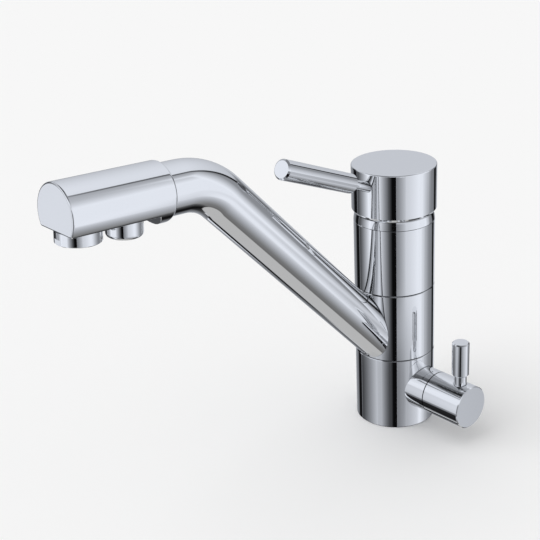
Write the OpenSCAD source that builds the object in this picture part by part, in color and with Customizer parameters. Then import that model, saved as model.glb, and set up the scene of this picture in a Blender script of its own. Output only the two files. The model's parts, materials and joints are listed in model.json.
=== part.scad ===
// Three way kitchen tap for hot, cold and filtered water, on one column.
// Origin: centre of the base's underside, where the tap stands on the worktop.
// +Z is up, the spout reaches towards -Y, the filtered water valve towards +X.

/* [Column] */
// Radius of the column: base body, swivel collar and upper body
body_r = 24.5; // [24:0.5:27]
// Height of the base body
base_h = 46.45; // [46:0.05:54]
// Height of the collar's plain band above the spout tube
collar_land = 2.6; // [2:0.1:8]
// Height of the upper body, which holds the cartridge
upper_h = 42.05; // [42:0.05:50]
// Seam between two column pieces that turn against each other
seam = 0.3; // [0.2:0.05:0.4]
// Broken edge of the column pieces
edge_break = 0.35; // [0.2:0.05:0.6]

/* [Spout tube] */
// Outer radius of the spout tube
tube_r = 13.9; // [13.6:0.1:14.4]
// Wall of the spout tube
tube_wall = 1.5; // [1.2:0.1:1.8]
// Slope of the rising run above the horizontal
rise_angle = 46.65; // [44:0.05:48]
// Length from the column's axis to the corner of the two runs
rise_length = 208; // [190:1:230]
// Radius of the bend on the tube's axis
bend_radius = 40; // [36:1:46]
// Length from the corner of the two runs to the head's end face
run_length = 87.9; // [84:0.1:100]
// Upward slope of the head
head_tilt = 4; // [2:0.5:6]
// Outer radius of the filtered water tube inside the spout
pipe_r = 3; // [2.8:0.1:3.2]
// Bore radius of the filtered water tube
pipe_bore_r = 2; // [1.6:0.1:2.2]

/* [Head] */
// Outer radius of the head
head_r = 15.85; // [15.6:0.05:16.4]
// Length of the head
head_length = 60.8; // [59:0.1:64]
// Depth of the flat underside below the head's axis
flat_depth = 8.6; // [8:0.1:9]
// Length of the flat underside
flat_length = 51.4; // [51:0.1:53]
// Slope of the step that ends the flat
flat_end_angle = 30; // [20:1:40]
// Radius of the head's rear edge
head_edge = 1.8; // [1:0.1:1.9]
// Wall of the head casing
head_wall = 1.8; // [1.6:0.1:1.9]

/* [Outlets] */
// Outer radius of the aerator
aerator_r = 11.7; // [11.4:0.1:11.9]
// Distance of the aerator's axis from the head's end face
aerator_s = 12.3; // [12.3:0.1:13]
// Height of the aerator below the flat
aerator_drop = 6.7; // [6:0.1:9]
// Outer radius of the filtered water nozzle
nozzle_r = 9.55; // [9:0.05:9.8]
// Distance of the nozzle's axis from the head's end face
nozzle_s = 38.8; // [38.6:0.1:39.4]
// Height of the nozzle below the flat
nozzle_drop = 9.95; // [9:0.05:12]
// Radius of the nozzle's lower edge
nozzle_edge = 2.2; // [1:0.1:2.4]

/* [Mixer handle] */
// How far the cap stands out past the column
cap_overhang = 1.07; // [0.8:0.01:2]
// Gap between the upper body and the cap, where the dome shows
cap_gap = 5.2; // [5:0.1:6]
// Height of the cap
cap_h = 29.2; // [28:0.1:34]
// Radius of the cap's upper edge
cap_edge = 0.8; // [0.4:0.1:2]
// Turn of the lever from straight ahead
lever_turn = 5.85; // [0:0.05:12]
// Slope of the lever above the horizontal
lever_angle = 23.05; // [21:0.05:25]
// Height above the cap's lower edge at which the lever leaves it
lever_exit = 21.1; // [20.6:0.1:22]
// Visible length of the lever's thin neck
lever_neck = 16.3; // [12:0.1:24]
// Radius of the lever's thin neck
lever_neck_r = 2.9; // [2.5:0.1:3.2]
// Length of the lever's grip
grip_length = 62.3; // [50:0.1:80]
// Radius of the lever's grip
grip_r = 5.8; // [5:0.1:7]
// Highest lift of the lever
lift_max = 11; // [8:1:11]

/* [Filtered water valve] */
// Height of the valve's axis above the worktop
valve_z = 25.1; // [24.6:0.1:25.4]
// Radius of the valve's boss and knob
valve_r = 13.25; // [12.8:0.05:14]
// Distance from the column's axis to the boss's end face
boss_x = 34.7; // [34:0.1:38]
// Length of the valve knob
knob_length = 27.1; // [26:0.1:34]
// Distance from the stick's axis to the knob's end face
stick_inset = 8.6; // [7:0.1:9]
// Radius of the stick
stick_r = 5.2; // [4.8:0.1:5.6]
// Length of the stick's thick part
stick_length = 21.6; // [15:0.1:24]
// Radius of the stick's neck
stick_neck_r = 3.9; // [3.4:0.1:4.2]
// Visible length of the stick's neck
stick_neck = 6.1; // [5:0.1:8]

/* [Connections] */
// Bore radius of the threaded hole for the fixing stud
stud_hole_r = 3.4; // [3.2:0.1:3.6]
// Depth of the threaded hole for the fixing stud
stud_hole_depth = 14; // [12:1:18]
// Bore radius of the three threaded hose ports
port_r = 4.5; // [4.2:0.1:4.6]
// Depth of the three threaded hose ports
port_depth = 12; // [10:1:16]
// Distance of the hose ports from the column's axis
way_ring_r = 10; // [9.9:0.05:10.2]

/* [Hidden] */
$fn = 96;

// Overrun of every cut past the face it opens
over = 1;
// Clearance of a running or sliding fit
run_gap = 0.05;
// Clearance of a threaded, pressed or soldered joint
fit_gap = 0.05;
// Free gap between pieces that don't touch
free_gap = 0.3;

// Underside gasket
gasket_inset = 1.5;
gasket_w = 2.5;
gasket_out_r = body_r - gasket_inset;
gasket_in_r = gasket_out_r - gasket_w;
gasket_h = 2;

// Heights of the column
collar_z = base_h + seam;
collar_h = 2 * tube_r / cos(rise_angle) + collar_land;
collar_top = collar_z + collar_h;
upper_z = collar_top + seam;
body_top = upper_z + upper_h;

// Core column that carries the water ways through the swivel collar
collar_wall = 7;
bore_r = body_r - collar_wall;
core_r = bore_r - run_gap;
foot_step = 2.5;
foot_r = bore_r - foot_step;
stud_wall = 1.6;
core_way_ring_r = (stud_hole_r + stud_wall + foot_r) / 2;
way_r = 2.4;
filter_way_r = 2;
mixed_way_r = 3;
hot_angle = 225;
cold_angle = 315;
filter_in_angle = 45;
filter_out_angle = 0;
mixed_angle = 90;
slip_in_r = core_r + fit_gap;
slip_edge = 3.5;
slip_out_r = body_r - slip_edge;
slip_h = 1.5;
slip_seat_z = collar_z - run_gap - slip_h;
slip_ceiling_z = collar_top + run_gap + slip_h;

// Spout: the lower side of the rising run meets the collar just above its lower edge
tube_lift = 0.1;
spout_z = collar_z + tube_lift + tube_r / cos(rise_angle) - body_r * tan(rise_angle);
bend_angle = rise_angle - head_tilt;
tangent_length = bend_radius * tan(bend_angle / 2);
corner_y = -rise_length * cos(rise_angle);
corner_z = spout_z + rise_length * sin(rise_angle);
tip_y = corner_y - run_length * cos(head_tilt);
tip_z = corner_z + run_length * sin(head_tilt);
tube_bore_r = tube_r - tube_wall;
// The straight runs lap a little way into the bend, and are this much thinner than it
joint_lap = 1;
joint_step = 0.05;
nipple_r = tube_bore_r - fit_gap;
nipple_reach = 4;
nipple_end = (body_r + nipple_r * sin(rise_angle)) / cos(rise_angle) + nipple_reach;
pipe_offset = -3;
pipe_seat = 8;
mixed_offset = 6.4;
mixed_port_r = 4;

// Annular chambers and seals between the core and the collar
filter_port_z = port_height(pipe_offset);
mixed_port_z = port_height(mixed_offset);
chamber_r = foot_r;
chamber_margin = 0.3;
filter_chamber_half = pipe_bore_r / cos(rise_angle) + chamber_margin;
mixed_chamber_half = mixed_port_r / cos(rise_angle) + chamber_margin;
ring_wire_r = 1;
ring_centre_r = bore_r - run_gap - ring_wire_r;
ring_groove_r = ring_centre_r - ring_wire_r - run_gap;
ring_side_play = 0.15;
ring_groove_h = 2 * (ring_wire_r + ring_side_play);
swivel_ring_z = [
    (collar_z + filter_port_z - filter_chamber_half) / 2,
    (filter_port_z + filter_chamber_half + mixed_port_z - mixed_chamber_half) / 2,
    (mixed_port_z + mixed_chamber_half + collar_top) / 2
];

// Upper body and cartridge, measured down from the upper body's top
cartridge_depth = 32.7;
cartridge_z = body_top - cartridge_depth;
body_wall = 7;
cartridge_r = body_r - body_wall;
cartridge_bore_r = cartridge_r + 2 * fit_gap;
spigot_step = 3.5;
spigot_r = cartridge_r - spigot_step;
foot_disc_h = 5;
ceramic_h = 4;
fixed_disc_z = cartridge_z + foot_disc_h;
moving_disc_z = fixed_disc_z + ceramic_h + run_gap;
carrier_z = moving_disc_z + ceramic_h;
carrier_h = 4.5;
carrier_floor = 0.6;
housing_wall = 2.3;
housing_in_r = cartridge_r - housing_wall;
fixed_disc_r = housing_in_r - 2 * fit_gap;
disc_play = 3.4;
moving_disc_r = housing_in_r - disc_play;
cartridge_port_r = 2.8;
pocket_wall = 5;
pocket_r = moving_disc_r - pocket_wall;
pocket_depth = 2;
lug_r = 1.5;
lug_inset = 1.7;
lug_ring_r = cartridge_r - lug_inset;
lug_h = 2;
lug_angles = [0, 150];
seal_wire_r = 0.8;
seal_ring_r = cartridge_port_r + 2 * seal_wire_r;

// Cap pivot: the dome is a sphere round the pivot of the cartridge stem
pivot_drop = 2;
pivot_z = body_top - pivot_drop;
dome_r = sqrt(body_r * body_r + pivot_drop * pivot_drop);
dome_wall = 1.7;
dome_mouth_r = 16.5;
skirt_inset = 2.3;
skirt_out_r = dome_r - skirt_inset;
skirt_wall = 1.8;
skirt_h = 3.5;
flange_z = carrier_z + carrier_h + free_gap;
flange_h = 2.3;
flange_r = housing_in_r - free_gap;
housing_drop = 6.2;
housing_shoulder_z = body_top - housing_drop;
housing_top_wall = 6;
stem_w = 8;
neck_in_r = (stem_w / 2 + housing_in_r) / 2;
guide_r = neck_in_r - 2 * run_gap;
neck_wall = 2.7;
neck_rise = 3.8;
neck_top_z = pivot_z + neck_rise;
nut_edge = 1.25;
nut_r = cartridge_r + nut_edge;
nut_in_r = neck_in_r + neck_wall + free_gap;
nut_h = 5.6;
nut_slot_w = 4;
nut_slot_depth = 2.5;
stem_ball_r = 2.6;
stem_rod_r = 2.1;
ball_z = carrier_z + carrier_floor + free_gap + stem_ball_r;
pin_r = 2;
pin_inset = 0.7;
pin_length = 2 * (guide_r - pin_inset);
stem_block_drop = 5;
stem_block_z = pivot_z - stem_block_drop;
slot_w = stem_w + 2 * free_gap;
slot_l = stem_w + 2 * (pivot_z - stem_block_z) * tan(lift_max) + 6 * free_gap;

// Cap of the mixer handle
cap_r = body_r + cap_overhang;
cap_z = body_top + cap_gap;
cap_top = cap_z + cap_h;
cap_cavity_r = dome_r + free_gap;
cap_rim_r = sqrt(cap_cavity_r * cap_cavity_r - (cap_z - pivot_z) * (cap_z - pivot_z));
cap_land = 0.25;
cap_bevel_h = 2.1;
boss_r = 9;
boss_rise = 17.8;
boss_z = pivot_z + boss_rise;
stem_socket_depth = 10.5;
stem_top = boss_z + stem_socket_depth;
screw_rise = 3.2;
screw_z = boss_z + screw_rise;
stem_screw_r = 2.5;
plug_r = 3;
plug_l = 5;

// Lever
lever_z = cap_z + lever_exit - cap_r * tan(lever_angle);
lever_surface = cap_r / cos(lever_angle);
lever_seat = 10.5;
grip_start = lever_surface + lever_neck;
grip_bore_depth = 10;
grip_bevel = 1;

// Filtered water valve, along +X
seat_x = 17;
headwork_r = 9.45;
headwork_bore_r = headwork_r + fit_gap;
seat_seal_h = 1.2;
valve_disc_h = 3;
valve_port_y = 5;
valve_port_r = 2;
valve_fixed_x = seat_x + seat_seal_h;
valve_moving_x = valve_fixed_x + valve_disc_h + run_gap;
valve_moving_r = 8;
spindle_x = valve_moving_x + valve_disc_h;
spindle_flange_h = 1.2;
spindle_r = 4.05;
headwork_cavity_r = valve_moving_r + 2 * run_gap;
headwork_wall_x = spindle_x + spindle_flange_h + run_gap;
hex_r = 10;
hex_h = 4;
knob_x = boss_x + seam;
knob_end = knob_x + knob_length;
knob_cavity_r = hex_r + free_gap + run_gap;
knob_cavity_end = boss_x + hex_h + 2 * free_gap;
stick_x = knob_end - stick_inset;
spindle_margin = 1.2;
spindle_end = stick_x - stick_neck_r - spindle_margin;
stick_seat_depth = 1.2;
stick_seat_z = valve_z + sqrt(valve_r * valve_r - stick_neck_r * stick_neck_r) - stick_seat_depth;
stick_z = valve_z + valve_r + stick_neck;
stick_thread_r = 2.5;
stick_thread_l = 5;
stick_bevel = 0.7;
knob_bevel = 0.5;
knob_screw_r = 2;
knob_screw_recess = 2;
spindle_ring_r = 0.9;
spindle_ring_x = (headwork_wall_x + boss_x) / 2;
tang_w = 3;
tang_h = 1;
core_foot_wall = 1.4;
core_foot_z = valve_z + headwork_bore_r + core_foot_wall;

// Head, measured back from its end face
insert_front = head_wall + 2 * free_gap;
tube_end_s = 49;
insert_rear = tube_end_s - free_gap;
insert_seat = 3.2;
flat_inner = flat_depth - head_wall;
aerator_neck_r = 10.4;
aerator_neck_h = 5;
aerator_bore_r = 9.2;
nozzle_neck_r = 6.2;
nozzle_neck_h = 4;
nozzle_neck_bore_r = 3.4;
nozzle_mouth_r = 6.4;
nozzle_wall = 1.5;
nozzle_chamber_h = 5.6;
nozzle_ring_wire_r = 0.8;
nozzle_ring_inset = 1.1;
nozzle_ring_depth = flat_depth - nozzle_neck_h + nozzle_ring_inset;
aerator_lip = 2;
aerator_washer_h = 1.5;
head_way_y = 6.6;
head_way_r = 3.6;

// Height at which a water way, at the given offset above the tube's axis, meets the collar's bore
function port_height(offset) =
    spout_z + offset * cos(rise_angle)
    + (bore_r + offset * sin(rise_angle)) * tan(rise_angle);

// Cylinder with broken edges
module turned(r, h, low, high) {
    rotate_extrude()
        polygon([[0, 0], [r - low, 0], [r, low], [r, h - high], [r - high, h], [0, h]]);
}

// Plain ring
module ring(r_out, r_in, h) {
    difference() {
        cylinder(r = r_out, h = h);
        translate([0, 0, -over]) cylinder(r = r_in, h = h + 2 * over);
    }
}

// Ring of round wire
module wire_ring(centre_r, wire_r) {
    rotate_extrude() translate([centre_r, 0]) circle(r = wire_r, $fn = 32);
}

// Vertical water way, on the core's ring of ways unless another ring is named
module way(angle, r, z_low, z_high, ring_r = core_way_ring_r) {
    rotate([0, 0, angle]) translate([ring_r, 0, z_low]) cylinder(r = r, h = z_high - z_low);
}

// Frames: along the rising run, along the head from its end face, and out of an outlet
module rise_frame() {
    translate([0, 0, spout_z]) rotate([90 - rise_angle, 0, 0]) children();
}
module head_frame() {
    translate([0, tip_y, tip_z]) rotate([90 - head_tilt, 0, 0]) children();
}
module outlet_frame(s) {
    head_frame() translate([0, 0, -s]) rotate([90, 0, 0]) children();
}
module valve_frame(x) {
    translate([x, 0, valve_z]) rotate([0, 90, 0]) children();
}
module handle_frame() {
    rotate([0, 0, lever_turn]) children();
}
module lever_frame() {
    handle_frame() translate([0, 0, lever_z]) rotate([90 - lever_angle, 0, 0]) children();
}

// Rod along both runs and the bend of the spout, offset above the tube's axis
module spout_rod(r, offset, start, end_s) {
    rise_frame() translate([0, offset, start])
        cylinder(r = r - joint_step, h = rise_length - tangent_length + joint_lap - start);
    rise_frame() translate([0, -bend_radius, rise_length - tangent_length]) rotate([90, 0, 90])
        rotate_extrude(angle = bend_angle) translate([bend_radius + offset, 0]) circle(r = r);
    head_frame() translate([0, offset, tangent_length - joint_lap - run_length])
        cylinder(r = r - joint_step, h = run_length - tangent_length + joint_lap - end_s);
}

// Wedge under the head's flat, with the sloping step at its rear end
module flat_wedge(depth, length) {
    low = head_r + over;
    slope = (low - depth) * tan(flat_end_angle);
    head_frame() rotate([90, 0, 90]) translate([0, 0, -head_r - over])
        linear_extrude(height = 2 * head_r + 2 * over)
            polygon([[-depth, over], [-depth, -length], [-low, -length - slope], [-low, over]]);
}

module base_body() {
    color("silver") difference() {
        union() {
            turned(body_r, base_h, edge_break, edge_break);
            valve_frame(0) cylinder(r = valve_r, h = boss_x);
        }
        translate([0, 0, slip_seat_z]) cylinder(r = slip_out_r + fit_gap, h = slip_h + over);
        translate([0, 0, core_foot_z]) cylinder(r = foot_r + fit_gap, h = base_h);
        translate([0, 0, -over]) cylinder(r = stud_hole_r, h = stud_hole_depth + over);
        translate([0, 0, -over]) ring(gasket_out_r, gasket_in_r, gasket_h + over);
        for (angle = [hot_angle, cold_angle, filter_in_angle])
            way(angle, port_r, -over, port_depth, way_ring_r);
        for (angle = [hot_angle, cold_angle]) way(angle, way_r, 0, core_foot_z + over);
        way(filter_in_angle, way_r, 0, valve_z);
        way(filter_out_angle, filter_way_r, valve_z, core_foot_z + over);
        valve_frame(seat_x) cylinder(r = headwork_bore_r, h = boss_x);
        translate([0, valve_port_y, 0]) valve_frame(core_way_ring_r * cos(filter_in_angle))
            cylinder(r = valve_port_r, h = seat_x);
        valve_frame(core_way_ring_r) cylinder(r = valve_port_r, h = seat_x);
    }
}

module base_gasket() {
    color("dimgray") ring(gasket_out_r - fit_gap, gasket_in_r + fit_gap, gasket_h);
}

module core_column() {
    color("goldenrod") difference() {
        union() {
            translate([0, 0, core_foot_z]) cylinder(r = foot_r, h = base_h - core_foot_z);
            translate([0, 0, slip_seat_z]) cylinder(r = core_r, h = slip_ceiling_z - slip_seat_z);
            translate([0, 0, collar_top]) cylinder(r = spigot_r, h = cartridge_z - collar_top);
        }
        for (z = swivel_ring_z) translate([0, 0, z - ring_groove_h / 2])
            ring(core_r + over, ring_groove_r, ring_groove_h);
        translate([0, 0, filter_port_z - filter_chamber_half])
            ring(core_r + over, chamber_r, 2 * filter_chamber_half);
        translate([0, 0, mixed_port_z - mixed_chamber_half])
            ring(core_r + over, chamber_r, 2 * mixed_chamber_half);
        for (angle = [hot_angle, cold_angle]) way(angle, way_r, core_foot_z - over, cartridge_z + over);
        way(filter_out_angle, filter_way_r, core_foot_z - over, filter_port_z);
        way(mixed_angle, mixed_way_r, mixed_port_z, cartridge_z + over);
        rotate([0, 0, filter_out_angle]) translate([core_way_ring_r, 0, filter_port_z]) rotate([0, 90, 0])
            cylinder(r = filter_way_r, h = bore_r);
        rotate([0, 0, mixed_angle]) translate([core_way_ring_r, 0, mixed_port_z]) rotate([0, 90, 0])
            cylinder(r = mixed_way_r, h = bore_r);
    }
}

module lower_slip_ring() {
    color("white") translate([0, 0, slip_seat_z]) ring(slip_out_r, slip_in_r, slip_h);
}

module upper_slip_ring() {
    color("white") translate([0, 0, collar_top + run_gap]) ring(slip_out_r, slip_in_r, slip_h);
}

module swivel_o_rings() {
    color("black") for (z = swivel_ring_z) translate([0, 0, z]) wire_ring(ring_centre_r, ring_wire_r);
}

module swivel_collar() {
    color("silver") difference() {
        union() {
            translate([0, 0, collar_z]) turned(body_r, collar_h, edge_break, edge_break);
            difference() {
                rise_frame() cylinder(r = nipple_r, h = nipple_end);
                cylinder(r = (body_r + bore_r) / 2, h = body_top);
                cylinder(r = body_r, h = collar_z);
            }
        }
        translate([0, 0, collar_z - over]) cylinder(r = bore_r, h = collar_h + 2 * over);
        rise_frame() translate([0, mixed_offset, 0]) cylinder(r = mixed_port_r, h = nipple_end + over);
        rise_frame() translate([0, pipe_offset, 0]) cylinder(r = pipe_bore_r, h = nipple_end);
        rise_frame() translate([0, pipe_offset, nipple_end - pipe_seat])
            cylinder(r = pipe_r + fit_gap, h = pipe_seat + over);
    }
}

module spout_tube() {
    color("silver") difference() {
        spout_rod(tube_r, 0, 0, tube_end_s);
        spout_rod(tube_bore_r, 0, -over, tube_end_s - over);
        cylinder(r = body_r + fit_gap, h = body_top);
        flat_wedge(flat_inner - fit_gap, flat_length + head_wall);
    }
}

module filter_tube() {
    pipe_end_s = insert_rear - insert_seat + fit_gap;
    color("whitesmoke") difference() {
        spout_rod(pipe_r, pipe_offset, nipple_end - pipe_seat, pipe_end_s);
        spout_rod(pipe_bore_r, pipe_offset, nipple_end - pipe_seat - over, pipe_end_s - over);
    }
}

module head_casing() {
    color("silver") difference() {
        head_frame() translate([0, 0, -head_length]) difference() {
            turned(head_r, head_length, 0, edge_break);
            rotate_extrude() translate([head_r - head_edge, head_edge]) difference() {
                translate([0, -head_edge - over]) square([head_edge + over, head_edge + over]);
                circle(r = head_edge);
            }
        }
        flat_wedge(flat_depth, flat_length);
        difference() {
            head_frame() translate([0, 0, -head_length - over])
                cylinder(r = tube_r + fit_gap, h = head_length + over - head_wall);
            flat_wedge(flat_inner, flat_length + head_wall);
        }
        outlet_frame(aerator_s) cylinder(r = aerator_neck_r + fit_gap, h = head_r);
        outlet_frame(nozzle_s) cylinder(r = nozzle_neck_r + fit_gap, h = head_r);
    }
}

module head_insert() {
    color("gainsboro") difference() {
        head_frame() translate([0, 0, -insert_rear])
            cylinder(r = tube_bore_r - free_gap, h = insert_rear - insert_front);
        flat_wedge(flat_inner - fit_gap, flat_length + head_wall);
        head_frame() translate([0, head_way_y, -insert_rear - over])
            cylinder(r = head_way_r, h = insert_rear + over - aerator_s + head_way_r);
        head_frame() translate([0, pipe_offset, -insert_rear - over])
            cylinder(r = pipe_r + fit_gap, h = over + insert_seat);
        head_frame() translate([0, pipe_offset, -insert_rear])
            cylinder(r = pipe_bore_r, h = insert_rear - nozzle_s);
        outlet_frame(aerator_s) translate([0, 0, -head_way_y])
            cylinder(r = aerator_bore_r - aerator_lip, h = head_r);
        outlet_frame(aerator_s) translate([0, 0, flat_depth - aerator_neck_h - free_gap])
            cylinder(r = aerator_neck_r + fit_gap, h = head_r);
        outlet_frame(nozzle_s) translate([0, 0, flat_depth - nozzle_neck_h - nozzle_chamber_h])
            cylinder(r = nozzle_neck_r + fit_gap, h = head_r);
    }
}

module aerator_housing() {
    flat_cut = 0.35;
    flat_h = 3;
    flat_w = 2 * aerator_r;
    color("silver") difference() {
        union() {
            outlet_frame(aerator_s) translate([0, 0, flat_depth])
                turned(aerator_r, aerator_drop, edge_break, edge_break);
            outlet_frame(aerator_s) translate([0, 0, flat_depth - aerator_neck_h])
                cylinder(r = aerator_neck_r, h = aerator_neck_h + over);
        }
        outlet_frame(aerator_s) translate([0, 0, flat_depth - aerator_neck_h - over])
            cylinder(r = aerator_bore_r, h = aerator_neck_h + aerator_drop + 2 * over);
        for (side = [-1, 1]) outlet_frame(aerator_s)
            translate([-flat_w / 2, side * (aerator_r - flat_cut) - (1 - side) * over / 2,
                flat_depth + aerator_drop - flat_h])
                cube([flat_w, over, aerator_drop]);
    }
}

module aerator_washer() {
    color("black") outlet_frame(aerator_s) translate([0, 0, flat_depth - aerator_neck_h])
        ring(aerator_bore_r - fit_gap, aerator_bore_r - aerator_lip, aerator_washer_h);
}

module aerator_insert() {
    cage_z = flat_depth - aerator_neck_h + aerator_washer_h;
    recess = 0.8;
    cage_h = aerator_neck_h + aerator_drop - aerator_washer_h - recess;
    cage_wall = 1.4;
    screen_h = 2;
    hole_r = 0.9;
    pitch = 2.6;
    color("lightgray") outlet_frame(aerator_s) translate([0, 0, cage_z]) difference() {
        cylinder(r = aerator_bore_r - fit_gap, h = cage_h);
        translate([0, 0, -over]) cylinder(r = aerator_bore_r - cage_wall, h = over + cage_h - screen_h);
        translate([0, 0, -over]) cylinder(r = hole_r, h = cage_h + 2 * over);
        for (k = [1:3], i = [0:6 * k - 1]) rotate([0, 0, 60 * i / k]) translate([k * pitch, 0, -over])
            cylinder(r = hole_r, h = cage_h + 2 * over);
    }
}

module filter_nozzle() {
    color("silver") outlet_frame(nozzle_s) difference() {
        union() {
            translate([0, 0, flat_depth]) difference() {
                turned(nozzle_r, nozzle_drop, edge_break, 0);
                rotate_extrude() translate([nozzle_r - nozzle_edge, nozzle_drop - nozzle_edge])
                    difference() {
                        square([nozzle_edge + over, nozzle_edge + over]);
                        circle(r = nozzle_edge);
                    }
            }
            translate([0, 0, flat_depth - nozzle_neck_h])
                cylinder(r = nozzle_neck_r, h = nozzle_neck_h + over);
        }
        translate([0, 0, flat_depth - nozzle_neck_h - over])
            cylinder(r = nozzle_neck_bore_r, h = nozzle_neck_h + nozzle_drop + 2 * over);
        translate([0, 0, flat_depth + nozzle_wall]) cylinder(r = nozzle_mouth_r, h = nozzle_drop);
        translate([0, 0, nozzle_ring_depth - nozzle_ring_wire_r - fit_gap])
            ring(nozzle_neck_r + over, nozzle_neck_r - 2 * nozzle_ring_wire_r - fit_gap,
                2 * nozzle_ring_wire_r + 2 * fit_gap);
    }
}

module nozzle_o_ring() {
    color("black") outlet_frame(nozzle_s) translate([0, 0, nozzle_ring_depth])
        wire_ring(nozzle_neck_r - nozzle_ring_wire_r, nozzle_ring_wire_r);
}

module nozzle_insert() {
    recess = 0.8;
    hole_r = 1;
    length = nozzle_drop - nozzle_wall - recess - fit_gap;
    color("lightgray") outlet_frame(nozzle_s) translate([0, 0, flat_depth + nozzle_wall + fit_gap])
        difference() {
            cylinder(r = nozzle_mouth_r - fit_gap, h = length);
            translate([0, 0, -over]) cylinder(r = hole_r, h = length + 2 * over);
            for (i = [0:5]) rotate([0, 0, 60 * i]) translate([nozzle_mouth_r / 2, 0, -over])
                cylinder(r = hole_r, h = length + 2 * over);
        }
}

module upper_body() {
    color("silver") difference() {
        translate([0, 0, upper_z]) turned(body_r, upper_h, edge_break, edge_break);
        translate([0, 0, upper_z - over])
            cylinder(r = slip_out_r + fit_gap, h = slip_ceiling_z - upper_z + over);
        translate([0, 0, upper_z]) cylinder(r = spigot_r + fit_gap, h = upper_h);
        translate([0, 0, cartridge_z]) cylinder(r = cartridge_bore_r, h = upper_h);
        translate([0, 0, housing_shoulder_z]) cylinder(r = nut_r + fit_gap, h = upper_h);
        translate([0, 0, body_top - skirt_h]) cylinder(r = skirt_out_r + fit_gap, h = skirt_h + over);
        for (angle = lug_angles) rotate([0, 0, angle])
            translate([lug_ring_r, 0, cartridge_z - lug_h - fit_gap])
                cylinder(r = lug_r + fit_gap, h = lug_h + over);
    }
}

module cartridge_ports(r, z_low, z_high) {
    for (angle = [hot_angle, cold_angle, mixed_angle]) way(angle, r, z_low, z_high);
}

module cartridge_seals() {
    color("black") for (angle = [hot_angle, cold_angle, mixed_angle]) rotate([0, 0, angle])
        translate([core_way_ring_r, 0, cartridge_z + seal_wire_r])
            wire_ring(seal_ring_r - seal_wire_r, seal_wire_r);
}

module cartridge_base() {
    color("white") difference() {
        union() {
            translate([0, 0, cartridge_z]) cylinder(r = cartridge_r, h = foot_disc_h);
            for (angle = lug_angles) rotate([0, 0, angle]) translate([lug_ring_r, 0, cartridge_z - lug_h])
                cylinder(r = lug_r, h = lug_h + over);
        }
        cartridge_ports(cartridge_port_r - seal_wire_r / 2, cartridge_z - over, fixed_disc_z + over);
        cartridge_ports(seal_ring_r + fit_gap, cartridge_z - over, cartridge_z + 2 * seal_wire_r + fit_gap);
    }
}

module fixed_disc() {
    color("ivory") difference() {
        translate([0, 0, fixed_disc_z]) cylinder(r = fixed_disc_r, h = ceramic_h);
        cartridge_ports(cartridge_port_r - seal_wire_r / 2, fixed_disc_z - over, moving_disc_z + over);
    }
}

module moving_disc() {
    color("ivory") difference() {
        translate([0, 0, moving_disc_z]) cylinder(r = moving_disc_r, h = ceramic_h);
        translate([0, 0, moving_disc_z - over]) cylinder(r = pocket_r, h = pocket_depth + over);
        way(mixed_angle, cartridge_port_r - seal_wire_r, moving_disc_z - over, moving_disc_z + pocket_depth);
    }
}

module disc_carrier() {
    color("red") difference() {
        translate([0, 0, carrier_z]) cylinder(r = moving_disc_r, h = carrier_h);
        translate([0, 0, carrier_z + carrier_floor]) cylinder(r = stem_ball_r + 2 * run_gap, h = carrier_h);
    }
}

module cartridge_housing() {
    color("red") difference() {
        union() {
            translate([0, 0, fixed_disc_z])
                cylinder(r = cartridge_r, h = housing_shoulder_z - fixed_disc_z);
            translate([0, 0, housing_shoulder_z])
                cylinder(r = neck_in_r + neck_wall, h = neck_top_z - housing_shoulder_z);
        }
        translate([0, 0, fixed_disc_z - over])
            cylinder(r = housing_in_r, h = housing_shoulder_z - housing_top_wall - fixed_disc_z + over);
        translate([0, 0, fixed_disc_z]) cylinder(r = neck_in_r, h = neck_top_z);
    }
}

module rotary_guide() {
    color("white") handle_frame() difference() {
        union() {
            translate([0, 0, flange_z]) cylinder(r = flange_r, h = flange_h);
            translate([0, 0, flange_z]) cylinder(r = guide_r, h = neck_top_z - free_gap - flange_z);
        }
        translate([-slot_w / 2, -slot_l / 2, flange_z - over])
            cube([slot_w, slot_l, neck_top_z - flange_z + 2 * over]);
        translate([-guide_r - over, 0, pivot_z]) rotate([0, 90, 0])
            cylinder(r = pin_r + fit_gap, h = 2 * guide_r + 2 * over);
    }
}

module pivot_pin() {
    color("gray") handle_frame() translate([-pin_length / 2, 0, pivot_z]) rotate([0, 90, 0])
        cylinder(r = pin_r, h = pin_length);
}

module cartridge_stem() {
    color("gray") handle_frame() difference() {
        union() {
            translate([0, 0, ball_z]) sphere(r = stem_ball_r);
            translate([0, 0, ball_z]) cylinder(r = stem_rod_r, h = stem_block_z - ball_z + over);
            translate([-stem_w / 2, -stem_w / 2, stem_block_z])
                cube([stem_w, stem_w, stem_top - stem_block_z]);
        }
        translate([-stem_w, 0, pivot_z]) rotate([0, 90, 0]) cylinder(r = pin_r + run_gap, h = 2 * stem_w);
    }
}

module cartridge_nut() {
    color("goldenrod") translate([0, 0, housing_shoulder_z]) difference() {
        ring(nut_r, nut_in_r, nut_h);
        for (angle = [0, 90]) rotate([0, 0, angle])
            translate([-nut_r - over, -nut_slot_w / 2, nut_h - nut_slot_depth])
                cube([2 * nut_r + 2 * over, nut_slot_w, nut_h]);
    }
}

module dome_cover() {
    color("silver") difference() {
        union() {
            intersection() {
                translate([0, 0, pivot_z]) sphere(r = dome_r);
                translate([0, 0, body_top]) cylinder(r = body_r + over, h = dome_r);
            }
            translate([0, 0, body_top - skirt_h]) cylinder(r = skirt_out_r, h = skirt_h + over);
        }
        intersection() {
            translate([0, 0, pivot_z]) sphere(r = dome_r - dome_wall);
            translate([0, 0, body_top + dome_wall]) cylinder(r = body_r, h = dome_r);
        }
        translate([0, 0, body_top - skirt_h - over])
            cylinder(r = skirt_out_r - skirt_wall, h = skirt_h + 2 * dome_wall);
        translate([0, 0, body_top]) cylinder(r = dome_mouth_r, h = dome_r);
    }
}

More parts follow.
